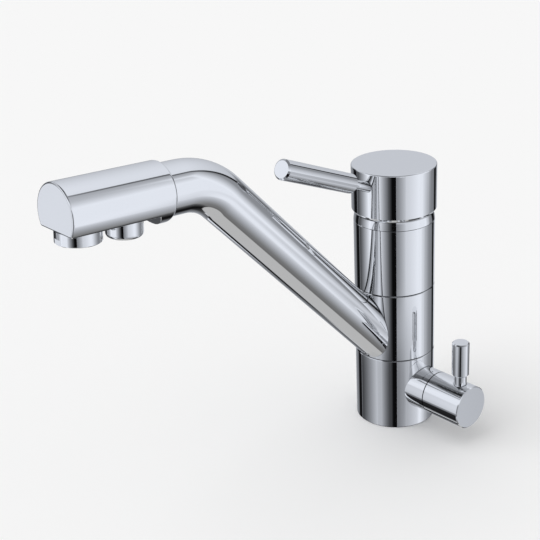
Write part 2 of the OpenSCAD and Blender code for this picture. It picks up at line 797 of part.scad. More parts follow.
module handle_cap() {
    color("silver") handle_frame() difference() {
        union() {
            difference() {
                rotate_extrude() difference() {
                    polygon([
                        [0, cap_z], [cap_rim_r + cap_land, cap_z], [cap_r, cap_z + cap_bevel_h],
                        [cap_r, cap_top], [0, cap_top]
                    ]);
                    translate([cap_r - cap_edge, cap_top - cap_edge]) difference() {
                        square([cap_edge + over, cap_edge + over]);
                        circle(r = cap_edge);
                    }
                }
                translate([0, 0, pivot_z]) sphere(r = cap_cavity_r);
            }
            translate([0, 0, boss_z]) cylinder(r = boss_r, h = cap_top - boss_z - cap_edge);
        }
        translate([-stem_w / 2 - fit_gap, -stem_w / 2 - fit_gap, boss_z - over])
            cube([stem_w + 2 * fit_gap, stem_w + 2 * fit_gap, stem_socket_depth + over]);
        translate([0, 0, screw_z]) rotate([-90, 0, 0]) cylinder(r = stem_screw_r + fit_gap, h = cap_r);
        translate([0, cap_r - plug_l, screw_z]) rotate([-90, 0, 0])
            cylinder(r = plug_r + fit_gap, h = cap_r);
        translate([0, 0, lever_z]) rotate([90 - lever_angle, 0, 0])
            translate([0, 0, lever_surface - lever_seat])
                cylinder(r = lever_neck_r + fit_gap, h = lever_seat + cap_r);
    }
}

module stem_screw() {
    color("gray") handle_frame() translate([0, stem_w / 2, screw_z]) rotate([-90, 0, 0])
        difference() {
            cylinder(r = stem_screw_r, h = boss_r - stem_w / 2);
            translate([0, 0, boss_r - stem_w / 2 - stem_screw_r])
                cylinder(r = stem_screw_r / 2, h = stem_screw_r + over, $fn = 6);
        }
}

module indicator_plug() {
    color("red") handle_frame() translate([0, cap_r - plug_l, screw_z]) rotate([-90, 0, 0])
        cylinder(r = plug_r, h = plug_l - cap_land);
}

module lever_stud() {
    color("silver") lever_frame() translate([0, 0, lever_surface - lever_seat + fit_gap])
        cylinder(r = lever_neck_r, h = lever_seat + lever_neck + grip_bore_depth - fit_gap);
}

module lever_grip() {
    color("silver") lever_frame() translate([0, 0, grip_start]) difference() {
        turned(grip_r, grip_length, grip_bevel, grip_bevel);
        translate([0, 0, -over]) cylinder(r = lever_neck_r + fit_gap, h = grip_bore_depth + over + free_gap);
    }
}

module valve_seat_seal() {
    color("black") difference() {
        valve_frame(seat_x) cylinder(r = headwork_r, h = seat_seal_h);
        for (y = [0, valve_port_y]) translate([0, y, 0]) valve_frame(seat_x - over)
            cylinder(r = valve_port_r, h = seat_seal_h + 2 * over);
    }
}

module valve_fixed_disc() {
    color("ivory") difference() {
        valve_frame(valve_fixed_x) cylinder(r = headwork_r, h = valve_disc_h);
        for (y = [0, valve_port_y]) translate([0, y, 0]) valve_frame(valve_fixed_x - over)
            cylinder(r = valve_port_r, h = valve_disc_h + 2 * over);
    }
}

module valve_moving_disc() {
    groove_l = 2 * valve_port_y + valve_port_r;
    color("ivory") difference() {
        valve_frame(valve_moving_x) cylinder(r = valve_moving_r, h = valve_disc_h);
        valve_frame(valve_moving_x) translate([-groove_l / 2, -valve_port_r, -over])
            cube([groove_l, 2 * valve_port_r, over + valve_disc_h / 2]);
        valve_frame(spindle_x) translate([-valve_moving_r - over, -tang_w / 2 - fit_gap, -tang_h - fit_gap])
            cube([2 * valve_moving_r + 2 * over, tang_w + 2 * fit_gap, tang_h + over]);
    }
}

module valve_headwork() {
    color("goldenrod") difference() {
        union() {
            valve_frame(valve_fixed_x + valve_disc_h)
                cylinder(r = headwork_r, h = boss_x - valve_fixed_x - valve_disc_h);
            valve_frame(boss_x) cylinder(r = hex_r, h = hex_h, $fn = 6);
        }
        valve_frame(valve_fixed_x) cylinder(r = headwork_cavity_r, h = headwork_wall_x - valve_fixed_x);
        valve_frame(valve_fixed_x) cylinder(r = spindle_r + run_gap, h = knob_end);
    }
}

module valve_spindle() {
    color("goldenrod") difference() {
        union() {
            valve_frame(spindle_x) cylinder(r = valve_moving_r, h = spindle_flange_h);
            valve_frame(spindle_x) cylinder(r = spindle_r, h = spindle_end - spindle_x);
            valve_frame(spindle_x) translate([-valve_moving_r / 2, -tang_w / 2, -tang_h])
                cube([valve_moving_r, tang_w, tang_h + over]);
        }
        valve_frame(spindle_ring_x - spindle_ring_r - fit_gap)
            ring(spindle_r + over, spindle_r - 2 * spindle_ring_r - fit_gap,
                2 * spindle_ring_r + 2 * fit_gap);
    }
}

module spindle_o_ring() {
    color("black") valve_frame(spindle_ring_x) wire_ring(spindle_r - spindle_ring_r, spindle_ring_r);
}

module valve_knob() {
    color("silver") difference() {
        valve_frame(knob_x) turned(valve_r, knob_length, edge_break, knob_bevel);
        valve_frame(knob_x - over) cylinder(r = knob_cavity_r, h = knob_cavity_end - knob_x + over);
        valve_frame(knob_x) cylinder(r = spindle_r + fit_gap, h = spindle_end - knob_x + free_gap);
        translate([stick_x, 0, stick_seat_z]) cylinder(r = stick_neck_r + fit_gap, h = valve_r);
        translate([stick_x, 0, stick_seat_z - stick_thread_l - free_gap])
            cylinder(r = stick_thread_r + fit_gap, h = valve_r);
        translate([(knob_cavity_end + spindle_end) / 2, 0, valve_z - valve_r - over])
            cylinder(r = knob_screw_r + fit_gap, h = valve_r + over);
    }
}

module valve_stick() {
    color("silver") translate([stick_x, 0, 0]) {
        translate([0, 0, stick_z]) turned(stick_r, stick_length, stick_bevel, stick_bevel);
        translate([0, 0, stick_seat_z])
            cylinder(r = stick_neck_r, h = stick_z - stick_seat_z + stick_bevel);
        translate([0, 0, stick_seat_z - stick_thread_l])
            cylinder(r = stick_thread_r, h = stick_thread_l + over);
    }
}

module knob_screw() {
    low = valve_z - valve_r + knob_screw_recess;
    color("gray") translate([(knob_cavity_end + spindle_end) / 2, 0, low]) difference() {
        cylinder(r = knob_screw_r, h = valve_z - spindle_r - low);
        translate([0, 0, -over]) cylinder(r = knob_screw_r / 2, h = over + knob_screw_r, $fn = 6);
    }
}

base_body();
base_gasket();
core_column();
lower_slip_ring();
upper_slip_ring();
swivel_o_rings();
swivel_collar();
spout_tube();
filter_tube();
head_casing();
head_insert();
nozzle_o_ring();
aerator_housing();
aerator_washer();
aerator_insert();
filter_nozzle();
nozzle_insert();
upper_body();
cartridge_seals();
cartridge_base();
fixed_disc();
moving_disc();
disc_carrier();
cartridge_housing();
rotary_guide();
pivot_pin();
cartridge_stem();
cartridge_nut();
dome_cover();
handle_cap();
stem_screw();
indicator_plug();
lever_stud();
lever_grip();
valve_seat_seal();
valve_fixed_disc();
valve_moving_disc();
valve_headwork();
valve_spindle();
spindle_o_ring();
valve_knob();
valve_stick();
knob_screw();
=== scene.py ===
"""Looks for the three way kitchen tap: finishes for every piece, and a photo studio for the chrome."""

import json
import math
from typing import NamedTuple

import bmesh
import bpy
from mathutils import Euler, Matrix, Vector


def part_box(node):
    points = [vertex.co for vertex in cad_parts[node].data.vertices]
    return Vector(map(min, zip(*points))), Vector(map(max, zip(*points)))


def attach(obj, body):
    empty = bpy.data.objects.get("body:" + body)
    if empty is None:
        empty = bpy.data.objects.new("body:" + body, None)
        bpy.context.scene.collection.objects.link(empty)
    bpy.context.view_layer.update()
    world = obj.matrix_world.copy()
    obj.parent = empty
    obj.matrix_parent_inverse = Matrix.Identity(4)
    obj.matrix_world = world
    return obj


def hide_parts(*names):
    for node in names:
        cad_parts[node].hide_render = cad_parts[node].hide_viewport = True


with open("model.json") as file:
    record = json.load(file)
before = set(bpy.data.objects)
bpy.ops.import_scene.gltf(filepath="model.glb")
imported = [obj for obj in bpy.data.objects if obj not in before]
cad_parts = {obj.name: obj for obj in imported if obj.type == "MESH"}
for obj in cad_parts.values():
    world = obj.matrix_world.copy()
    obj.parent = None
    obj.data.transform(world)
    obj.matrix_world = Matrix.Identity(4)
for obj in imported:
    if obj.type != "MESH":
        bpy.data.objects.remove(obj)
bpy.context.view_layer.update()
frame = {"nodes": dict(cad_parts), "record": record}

MM = 0.001
SIDE = Vector((1, 0, 0))
UP = Vector((0, 0, 1))

# Camera: where the photograph was taken from

CAMERA_PLACE = Vector((0.46204, -0.49398, 0.38863))
CAMERA_HEADING = 49.57
CAMERA_TILT = 23.14
CAMERA_ROLL = -2.87
CAMERA_LENS = 79.4
CAMERA_SENSOR = 36
CAMERA_NEAR = 10 * MM

# Floor and lamp; the grain is the scale of a noise, per metre

FLOOR_RADIUS = 4.0
FLOOR_SEGMENTS = 96
FLOOR_WHITE = (0.95, 0.95, 0.95, 1)
FLOOR_GRAIN_WHITE = (0.945, 0.945, 0.945, 1)
FLOOR_GRAIN = 900
LAMP_LEVEL = 0.98
LAMP_ANGLE = 50
LAMP_TURN = (28, -18, 0)

# Room: how white the camera and glass see it, and how much light it throws on matt surfaces

ROOM_WHITE = 0.95
FILL_LEVEL = 0.72

# Spout: the tap's own sizes, for the two pieces that are rebuilt with finer skins

BODY_R = 24.5 * MM
TUBE_R = 13.9 * MM
TUBE_WALL = 1.5 * MM
RISE_ANGLE = math.radians(46.65)
RISE_LENGTH = 208 * MM
BEND_RADIUS = 40 * MM
RUN_LENGTH = 87.9 * MM
HEAD_TILT = math.radians(4)
TUBE_LIFT = 0.1 * MM
TUBE_END = 58 * MM
TUBE_GAP = 0.1 * MM
HEAD_R = 15.85 * MM
HEAD_LENGTH = 60.8 * MM
HEAD_FLAT = 8.6 * MM
FLAT_LENGTH = 51.4 * MM
LEAST_FLAT = 0.01 * MM
STEP_SLOPE = math.tan(math.radians(30))
HEAD_REAR_EDGE = 1.8 * MM
HEAD_FRONT_EDGE = 0.9 * MM
FLAT_EDGE = 1.1 * MM
STEP_EDGE = 0.5 * MM
JOINT_EDGE = 0.3 * MM

# Fineness of the two skins, and how far their large faces decide the normals

SKIN_SEGMENTS = 160
EDGE_STEPS = 5
REAR_EDGE_STEPS = 10
BEND_STEPS = 36
RUN_STEPS = 8
STEP_STEPS = 24
FLAT_POINTS = 8
CORNER_POINTS = 5
NORMAL_WEIGHT = 100

# Finishes. Clouds, swell, rings, grain and polish are scales of a noise, per metre.
# Painted shade: chrome's colour is darkened in a seam, where the air around a spot is closed within the
# reach given below.

CHROME_DEEP = (0.880, 0.886, 0.896, 1)
CHROME_PALE = (0.893, 0.898, 0.906, 1)
CHROME_CLOUDS = 45
CHROME_ROUGH = (0.030, 0.055)
SWELL = 110
SWELL_DEPTH = 0.01 * MM
SWELL_STRENGTH = 0.15
POLISH_STRETCH = (900, 900, 60)
POLISH_DEPTH = 0.001 * MM
POLISH_STRENGTH = 0.2
POLISH_ROUGH = 0.02
# Reach, colour, samples and thresholds of the painted shade in seams
SEAM_SHADE_REACH = 1.0 * MM
PAINTED_SEAM_SHADE = (0.10, 0.11, 0.125, 1)
SEAM_SHADE_SAMPLES = 12
SEAM_SHADE_CLOSED = 0.3
SEAM_SHADE_OPEN = 0.9

METAL_CLOUDS = 70
RING_STRETCH = (120, 120, 4000)
RING_DEPTH = 0.02 * MM
RING_STRENGTH = 0.5
METAL_ROUGH_SPREAD = (-0.05, 0.08)

MOULD_CLOUDS = 55
MOULD_GRAIN = 900
MOULD_DEPTH = 0.02 * MM
MOULD_STRENGTH = 0.4
MOULD_ROUGH_SPREAD = 0.06
FINE_DEPTH = 0.004 * MM

# Where most values of a noise lie, alone and as a sum of two

NOISE_LOW = 0.3
NOISE_HIGH = 0.7
SUM_LOW = 0.6
SUM_HIGH = 1.4

# Studio: cards and flags around the tap, by direction from it, each over the ones before it.
# Sideways angles are degrees to the right of the camera, from STUDIO_SEAM on; heights are degrees
# above the horizon. Shades are the greys that a mirror shows, from 0, black, to 1, white. They turn
# into light by the screen's curve, GREY_OFFSET and GREY_POWER, and by MIRROR_WHITE, which is the
# share of light that chrome gives back.

STUDIO_SEAM = -60
STUDIO_TURN = CAMERA_HEADING - 90
STUDIO_BASE = 0.90
MIRROR_WHITE = 0.89
GREY_OFFSET = 0.055
GREY_POWER = 2.4

# Tint of what metal mirrors. Downwards it fades out, between these two values of a direction's z.

STUDIO_TINT = (0.953, 0.991, 1.073, 1)
NO_TINT = (1, 1, 1, 1)
TINT_FADE = (-0.94, -0.75)


class Panel(NamedTuple):
    """A soft edged card between two sides and two heights.

    Its shade runs from start to end, sideways or upwards. Each edge is as wide as its softness says, and
    the card leans by so many degrees sideways for each degree of height.
    """
    name: str
    left: float
    right: float
    low: float
    high: float
    start: float
    end: float
    soft_left: float = 6
    soft_right: float = 6
    soft_low: float = 8
    soft_high: float = 8
    lean: float = 0
    upwards: bool = False


class Disc(NamedTuple):
    """A round card around one direction."""
    name: str
    side: float
    height: float
    radius: float
    soft: float
    shade: float


STUDIO = [
    Panel("ceiling", -70, 310, 54, 100, 0.48, 0.48, soft_low=10),
    Panel("ceiling left", 236, 310, 49, 100, 0.14, 0.18, soft_low=5),
    Panel("ceiling front left", -70, 4, 42, 100, 0.25, 0.45, soft_right=20, soft_low=10),
    Panel("upper right fade", 0, 118, 20, 58, 0.91, 0.54, 20, 6, 16, 6, upwards=True),
    Panel("right falloff", 90, 115, -18, 40, 0.93, 0.57, 5, 4, 14, 12),
    Panel("right falloff end", 113, 150, -12, 56, 0.56, 0.51, 4, 10, 14, 6),
    Panel("upper right falloff", 80, 108, 40, 60, 0.74, 0.62, 8, 4, 12, 8),
    Panel("wall behind", 141.5, 222, -2, 62, 0.72, 0.89, 2.5, 20, 10, 10, -0.65, True),
    Panel("wall behind left", 192, 222, 8, 60, 0.70, 0.60, 8, 8, 14, 10),
    Panel("left wall low", 240, 270, 10, 44, 0.45, 0.92, 8, 8, 8, 10),
    Panel("low wall behind", 146, 224, -36, -2, 0.85, 0.40, 6, 6, 6, 12),
    Panel("wall corner", 136, 162, -20, 6, 0.22, 0.74, 4, 6, 6, 8),
    Panel("low floor", -70, 310, -100, -65, 0.42, 0.42, 10, 10, 6, 4),
    Panel("low fade", -70, 128, -66, -34, 0.41, 0.83, 10, 20, 4, 6, upwards=True),
    Panel("low front left", -70, -16, -62, -31, 0.30, 0.66, 2, 4, 6, 6, upwards=True),
    Panel("low right falloff", 74, 110, -36, -17, 0.91, 0.52, 10, 4, 6, 8),
    Panel("low right edge", 108, 134, -36, -4, 0.53, 0.44, 4, 8, 6, 14),
    Panel("front right near", 0, 28, -26, 10, 0.48, 0.80, 2, 8, 5, 8),
    Panel("front right near low", 0, 28, -37, -26, 0.46, 0.66, 2, 8, 8, 5),
    Panel("front right far", 26, 66, -26, 22, 0.80, 0.92, 6, 10, 5, 14),
    Panel("front right far low", 26, 66, -36, -26, 0.66, 0.83, 6, 10, 8, 5),
    Panel("front left sheet", -48, -18, -26, 24, 0.90, 0.31, 10, 6, 4, 14),
    Panel("front left edge low", -70, -46, -38, -26, 0.73, 0.68, 2, 4, 6, 4),
    Panel("front left sheet low", -47, -18, -38, -26, 0.68, 0.20, 4, 6, 6, 4),
    Panel("front gap", -20, -0.5, -60, 16, 0.23, 0.10, 8, 1.5, 20, 10),
    Panel("front strip", -13, -0.5, -60, 16, 0.04, 0.035, 4, 1.5, 20, 10),
    Panel("left sheet", 238, 284, -26, 12, 0.22, 0.96, 6, 6, 4, 8),
    Panel("left sheet low", 238, 310, -34, -26, 0.22, 0.84, 6, 2, 4, 4),
    Panel("head card", 250.2, 254.4, -17.6, -13.2, 0.86, 0.86, 1, 1, 1, 1),
    Panel("left flag", 219, 237, -34, 24, 0.03, 0.10, 10, 5, 6, 10),
    Panel("left low flag", 239, 276, -56, -33, 0.08, 0.16, 4, 10, 6, 3),
    Panel("left rear card", 212, 237, -52, -34, 0.29, 0.31, 4, 4, 4, 3),
    Panel("floor behind", 146, 203, -58, -35, 0.30, 0.60, 8, 6, 6, 4, upwards=True),
    Panel("softbox edge", 134.5, 141.5, 3, 52, 0.0, 0.42, 5, 2, 4, 6, -0.65, True),
    Panel("right flag", 121, 137, -66, -6, 0.06, 0.08, 6, 5, 6, 6, -0.35),
    Panel("right low flag", 108, 142, -76, -54, 0.38, 0.02, 12, 2, 6, 6),
    Panel("far low flag", 142, 186, -76, -54, 0.04, 0.30, 2, 4, 6, 6),
    Disc("table", 235, -82.5, 24, 1.5, 0.705),
    Panel("table far edge", 219, 242, -60, -53, 0.97, 0.12, 2, 2, 3, 3),
    Panel("far flag", 202, 219, -62, -52, 0.10, 0.05, 4, 3, 4, 4),
]


class Graph:
    """Adds shader nodes to one tree and links them."""

    def __init__(self, tree):
        self.tree = tree
        self.tree.nodes.clear()

    def node(self, kind, **settings):
        made = self.tree.nodes.new(kind)
        for name, value in settings.items():
            setattr(made, name, value)
        return made

    def put(self, value, socket):
        """Link a socket, or set a plain value on the socket itself."""
        if isinstance(value, bpy.types.NodeSocket):
            self.tree.links.new(value, socket)
        else:
            socket.default_value = value

    def fill(self, made, **values):
        """Put values on a node's inputs, by the inputs' names in small letters."""
        for name, value in values.items():
            self.put(value, made.inputs[name.replace("_", " ").title()])

    def math(self, operation, *values):
        made = self.node("ShaderNodeMath", operation=operation)
        for place, value in enumerate(values):
            self.put(value, made.inputs[place])
        return made.outputs[0]

    def dot(self, vector, fixed):
        made = self.node("ShaderNodeVectorMath", operation="DOT_PRODUCT")
        self.put(vector, made.inputs[0])
        self.put(fixed, made.inputs[1])
        return made.outputs["Value"]

    def ramp(self, value, low, high, start, end, shape="LINEAR"):
        made = self.node("ShaderNodeMapRange", interpolation_type=shape)
        self.fill(made, value=value, from_min=low, from_max=high, to_min=start, to_max=end)
        return made.outputs["Result"]

    def blend(self, factor, first, second):
        made = self.node("ShaderNodeMix", data_type="FLOAT")
        self.put(factor, made.inputs[0])
        self.put(first, made.inputs[2])
        self.put(second, made.inputs[3])
        return made.outputs[0]

    def blend_colour(self, factor, first, second):
        made = self.node("ShaderNodeMix", data_type="RGBA")
        self.put(factor, made.inputs[0])
        self.put(first, made.inputs[6])
        self.put(second, made.inputs[7])
        return made.outputs[2]

    def noise(self, place, scale, detail=2):
        made = self.node("ShaderNodeTexNoise")
        self.fill(made, vector=place, scale=scale, detail=detail)
        return made.outputs["Fac"]

    def stretch(self, place, scale):
        made = self.node("ShaderNodeMapping")
        self.fill(made, vector=place, scale=scale)
        return made.outputs["Vector"]

    def bump(self, height, distance, strength, under=None):
        made = self.node("ShaderNodeBump")
        self.fill(made, height=height, distance=distance, strength=strength)
        if under is not None:
            self.fill(made, normal=under)
        return made.outputs["Normal"]


# The studio's light

def panel_parts(graph, side, height, card):
    """A panel's mask, 1 inside and 0 outside with soft edges, and the shade that it has there."""
    leaning = graph.math("MULTIPLY_ADD", height, -card.lean, side) if card.lean else side
    edges = (
        (leaning, card.left, card.soft_left, 0, 1),
        (leaning, card.right, card.soft_right, 1, 0),
        (height, card.low, card.soft_low, 0, 1),
        (height, card.high, card.soft_high, 1, 0),
    )
    mask = None
    for angle, edge, soft, before, after in edges:
        step = graph.ramp(angle, edge - soft / 2, edge + soft / 2, before, after, "SMOOTHSTEP")
        mask = step if mask is None else graph.math("MULTIPLY", mask, step)
    if card.upwards:
        return mask, graph.ramp(height, card.low, card.high, card.start, card.end)
    return mask, graph.ramp(leaning, card.left, card.right, card.start, card.end)


def disc_parts(graph, direction, card):
    """A round card's mask, 1 inside and 0 outside, and its shade."""
    turn = math.radians(STUDIO_TURN + card.side)
    rise = math.radians(card.height)
    axis = Vector((math.cos(turn) * math.cos(rise), math.sin(turn) * math.cos(rise), math.sin(rise)))
    angle = graph.math("DEGREES", graph.math("ARCCOSINE", graph.dot(direction, axis)))
    inner = card.radius - card.soft / 2
    outer = card.radius + card.soft / 2
    return graph.ramp(angle, inner, outer, 1, 0, "SMOOTHSTEP"), card.shade


def studio_light(graph, direction):
    """The studio's brightness seen along a direction."""
    turn = math.radians(STUDIO_TURN)
    ahead = graph.dot(direction, Vector((math.cos(turn), math.sin(turn), 0)))
    right = graph.dot(direction, Vector((-math.sin(turn), math.cos(turn), 0)))
    side = graph.math("DEGREES", graph.math("ARCTAN2", right, ahead))
    side = graph.math("WRAP", side, STUDIO_SEAM + 360, STUDIO_SEAM)
    height = graph.math("DEGREES", graph.math("ARCSINE", graph.dot(direction, UP)))
    shade = STUDIO_BASE
    for card in STUDIO:
        if isinstance(card, Disc):
            mask, inside = disc_parts(graph, direction, card)
        else:
            mask, inside = panel_parts(graph, side, height, card)
        shade = graph.blend(mask, shade, inside)
    grey_scale = 1 + GREY_OFFSET
    lifted = graph.math("MULTIPLY_ADD", shade, 1 / grey_scale, GREY_OFFSET / grey_scale)
    return graph.math("DIVIDE", graph.math("POWER", lifted, GREY_POWER), MIRROR_WHITE)


def build_world():
    """White to the camera and through glass; metal sees the same room with its cards and flags."""
    world = bpy.data.worlds.new("studio")
    bpy.context.scene.world = world
    world.use_nodes = True
    graph = Graph(world.node_tree)
    direction = graph.node("ShaderNodeTexCoord").outputs["Generated"]
    ray = graph.node("ShaderNodeLightPath").outputs
    room = graph.blend(ray["Is Glossy Ray"], ROOM_WHITE, studio_light(graph, direction))
    seen = graph.math("MAXIMUM", ray["Is Camera Ray"], ray["Is Glossy Ray"])
    seen = graph.math("MAXIMUM", seen, ray["Is Transmission Ray"])
    cool = graph.ramp(graph.dot(direction, UP), TINT_FADE[0], TINT_FADE[1], 0, 1)
    cool = graph.math("MULTIPLY", cool, ray["Is Glossy Ray"])
    background = graph.node("ShaderNodeBackground")
    tint = graph.blend_colour(cool, NO_TINT, STUDIO_TINT)
    graph.fill(background, color=tint, strength=graph.blend(seen, FILL_LEVEL, room))
    output = graph.node("ShaderNodeOutputWorld")
    graph.fill(output, surface=background.outputs[0])


def build_lamp():
    """One wide soft lamp from the upper left, which metal doesn't mirror."""
    data = bpy.data.lights.new("soft_lamp", "SUN")
    data.energy = LAMP_LEVEL
    data.angle = math.radians(LAMP_ANGLE)
    lamp = bpy.data.objects.new("soft_lamp", data)
    lamp.rotation_euler = Euler([math.radians(turn) for turn in LAMP_TURN])
    lamp.visible_glossy = False
    bpy.context.collection.objects.link(lamp)


def build_floor():
    """A round pale floor that takes the tap's shadow."""
    mesh = bpy.data.meshes.new("floor")
    shape = bmesh.new()
    bmesh.ops.create_circle(shape, cap_ends=True, segments=FLOOR_SEGMENTS, radius=FLOOR_RADIUS)
    shape.to_mesh(mesh)
    shape.free()
    floor = bpy.data.objects.new("floor", mesh)
    bpy.context.collection.objects.link(floor)
    material, graph = new_material("floor_paper")
    grain = graph.noise(object_place(graph), FLOOR_GRAIN)
    paper = graph.node("ShaderNodeBsdfDiffuse")
    graph.fill(paper, color=graph.blend_colour(grain, FLOOR_WHITE, FLOOR_GRAIN_WHITE))
    finish(graph, paper)
    mesh.materials.append(material)
    floor.visible_glossy = False


def build_camera():
    """The photograph's camera."""
    data = bpy.data.cameras.new("photo_camera")
    data.lens = CAMERA_LENS
    data.sensor_width = CAMERA_SENSOR
    data.clip_start = CAMERA_NEAR
    camera = bpy.data.objects.new("photo_camera", data)
    heading = Matrix.Rotation(math.radians(CAMERA_HEADING), 4, "Z")
    tilt = Matrix.Rotation(math.radians(90 - CAMERA_TILT), 4, "X")
    roll = Matrix.Rotation(math.radians(CAMERA_ROLL), 4, "Z")
    camera.matrix_world = Matrix.Translation(CAMERA_PLACE) @ heading @ tilt @ roll
    bpy.context.collection.objects.link(camera)
    bpy.context.scene.camera = camera


# Finishes

def new_material(name):
    """A new material, and the graph that fills it."""
    material = bpy.data.materials.new(name)
    material.use_nodes = True
    return material, Graph(material.node_tree)


def finish(graph, shader):
    """Make a shader the material's surface."""
    output = graph.node("ShaderNodeOutputMaterial")
    graph.fill(output, surface=shader.outputs[0])


def principled(graph, **values):
    """Finish a material with Blender's main shader."""
    shader = graph.node("ShaderNodeBsdfPrincipled")
    graph.fill(shader, **values)
    finish(graph, shader)


def object_place(graph):
    """The place on the object, in metres."""
    return graph.node("ShaderNodeTexCoord").outputs["Object"]


def chrome():
    """Bright plating: a faint swell under it, fine polishing marks, and shade painted into its colour in
    seams.
    """
    material, graph = new_material("bright_chrome")
    place = object_place(graph)
    cloud = graph.noise(place, CHROME_CLOUDS, 3)
    marks = graph.noise(graph.stretch(place, POLISH_STRETCH), 1)
    rough = graph.ramp(cloud, NOISE_LOW, NOISE_HIGH, *CHROME_ROUGH)
    rough = graph.math("MULTIPLY_ADD", marks, POLISH_ROUGH, rough)
    swell = graph.bump(graph.noise(place, SWELL, 1), SWELL_DEPTH, SWELL_STRENGTH)
    normal = graph.bump(marks, POLISH_DEPTH, POLISH_STRENGTH, swell)
    # Painted shade: ambient occlusion finds closed-in seams, and there the colour turns dark
    seam_shade_ao = graph.node("ShaderNodeAmbientOcclusion", samples=SEAM_SHADE_SAMPLES)
    graph.fill(seam_shade_ao, distance=SEAM_SHADE_REACH)
    unshaded_share = graph.ramp(seam_shade_ao.outputs["AO"], SEAM_SHADE_CLOSED, SEAM_SHADE_OPEN, 0, 1)
    tint = graph.blend_colour(cloud, CHROME_DEEP, CHROME_PALE)
    colour_with_painted_shade = graph.blend_colour(unshaded_share, PAINTED_SEAM_SHADE, tint)
    principled(graph, base_color=colour_with_painted_shade, metallic=1.0, roughness=rough, normal=normal)
    return material


def machined_metal(name, first, second, rough):
    """Turned metal: fine rings from the tool, and a slight change of colour."""
    material, graph = new_material(name)
    place = object_place(graph)
    cloud = graph.noise(place, METAL_CLOUDS, 4)
    rings = graph.noise(graph.stretch(place, RING_STRETCH), 1)
    tint = graph.blend_colour(cloud, first, second)
    smooth, dull = [rough + spread for spread in METAL_ROUGH_SPREAD]
    roughness = graph.ramp(graph.math("ADD", cloud, rings), SUM_LOW, SUM_HIGH, smooth, dull)
    normal = graph.bump(rings, RING_DEPTH, RING_STRENGTH)
    principled(graph, base_color=tint, metallic=1.0, roughness=roughness, normal=normal)
    return material


def moulded(name, first, second, rough, grain=MOULD_GRAIN, depth=MOULD_DEPTH, coat=0.0):
    """Moulded rubber, plastic or ceramic: fine grain and a cloudy colour."""
    material, graph = new_material(name)
    place = object_place(graph)
    cloud = graph.noise(place, MOULD_CLOUDS, 3)
    pores = graph.noise(place, grain, 4)
    tint = graph.blend_colour(cloud, first, second)
    smooth, dull = rough - MOULD_ROUGH_SPREAD, rough + MOULD_ROUGH_SPREAD
    roughness = graph.ramp(pores, NOISE_LOW, NOISE_HIGH, smooth, dull)
    normal = graph.bump(pores, depth, MOULD_STRENGTH)
    principled(graph, base_color=tint, roughness=roughness, normal=normal, coat_weight=coat)
    return material


def build_finishes():
    """One material for each slot of the record."""
    return {
        "chrome_plate": chrome(),
        "bare_brass": machined_metal("machined_brass", (0.74, 0.56, 0.28, 1), (0.68, 0.51, 0.25, 1), 0.28),
        "stainless": machined_metal("machined_steel", (0.62, 0.62, 0.63, 1), (0.57, 0.57, 0.585, 1), 0.26),
        "seal_rubber": moulded("black_rubber", (0.028, 0.028, 0.03, 1), (0.04, 0.04, 0.042, 1), 0.55),
        "ceramic": moulded("lapped_ceramic", (0.93, 0.92, 0.88, 1), (0.90, 0.89, 0.85, 1), 0.16,
                           grain=2000, depth=FINE_DEPTH, coat=0.3),
        "white_plastic": moulded("white_acetal", (0.88, 0.88, 0.86, 1), (0.84, 0.84, 0.82, 1), 0.40),
        "grey_plastic": moulded("grey_moulding", (0.55, 0.57, 0.60, 1), (0.49, 0.51, 0.54, 1), 0.38),
        "red_plastic": moulded("red_moulding", (0.55, 0.10, 0.08, 1), (0.48, 0.08, 0.065, 1), 0.40),
        "tube_plastic": moulded("food_tube", (0.90, 0.91, 0.93, 1), (0.86, 0.87, 0.90, 1), 0.30),
        "indicator": moulded("indicator_gloss", (0.60, 0.05, 0.05, 1), (0.54, 0.04, 0.04, 1), 0.14,
                             grain=1500, depth=FINE_DEPTH, coat=0.5),
    }


def dress_nodes(finishes):
    """Each CAD node gets the finish of its slot."""
    slots = {part["node"]: part["material_slot"] for part in frame["record"]["subparts"]}
    for name, node in frame["nodes"].items():
        node.data.materials.clear()
        node.data.materials.append(finishes[slots[name]])


# Rebuilt skins

def skin_mesh(name, rings, loop):
    """A smooth mesh through rings of points, closed by end faces or by joining last ring and first."""
    shape = bmesh.new()
    corners = [[shape.verts.new(point) for point in ring] for ring in rings]
    pairs = list(zip(corners, corners[1:]))
    if loop:
        pairs.append((corners[-1], corners[0]))
    else:
        shape.faces.new(corners[0])
        shape.faces.new(corners[-1])
    for first, second in pairs:
        for place in range(len(first)):
            after = (place + 1) % len(first)
            shape.faces.new((first[place], first[after], second[after], second[place]))
    bmesh.ops.recalc_face_normals(shape, faces=shape.faces)
    for face in shape.faces:
        face.smooth = True
    mesh = bpy.data.meshes.new(name)
    shape.to_mesh(mesh)
    shape.free()
    return mesh


def skin(name, rings, finish_material, body, node, loop=False):
    """A skin in place of a CAD node, on its body and with its slot."""
    mesh = skin_mesh(name, rings, loop)
    mesh.materials.append(finish_material)
    piece = bpy.data.objects.new(name, mesh)
    bpy.context.collection.objects.link(piece)
    even = piece.modifiers.new("even_normals", "WEIGHTED_NORMAL")
    even.weight = NORMAL_WEIGHT
    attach(piece, body)
    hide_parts(node)


class SpoutLines(NamedTuple):
    """The corner of the spout's two straight lines, their directions and the directions above them."""
    corner: Vector
    rise: Vector
    run: Vector
    above_rise: Vector
    above_run: Vector


def along(slope):
    """The direction away from the column at a slope."""
    return Vector((0, -math.cos(slope), math.sin(slope)))


def above(slope):
    """The direction square to that slope, upwards."""
    return Vector((0, math.sin(slope), math.cos(slope)))


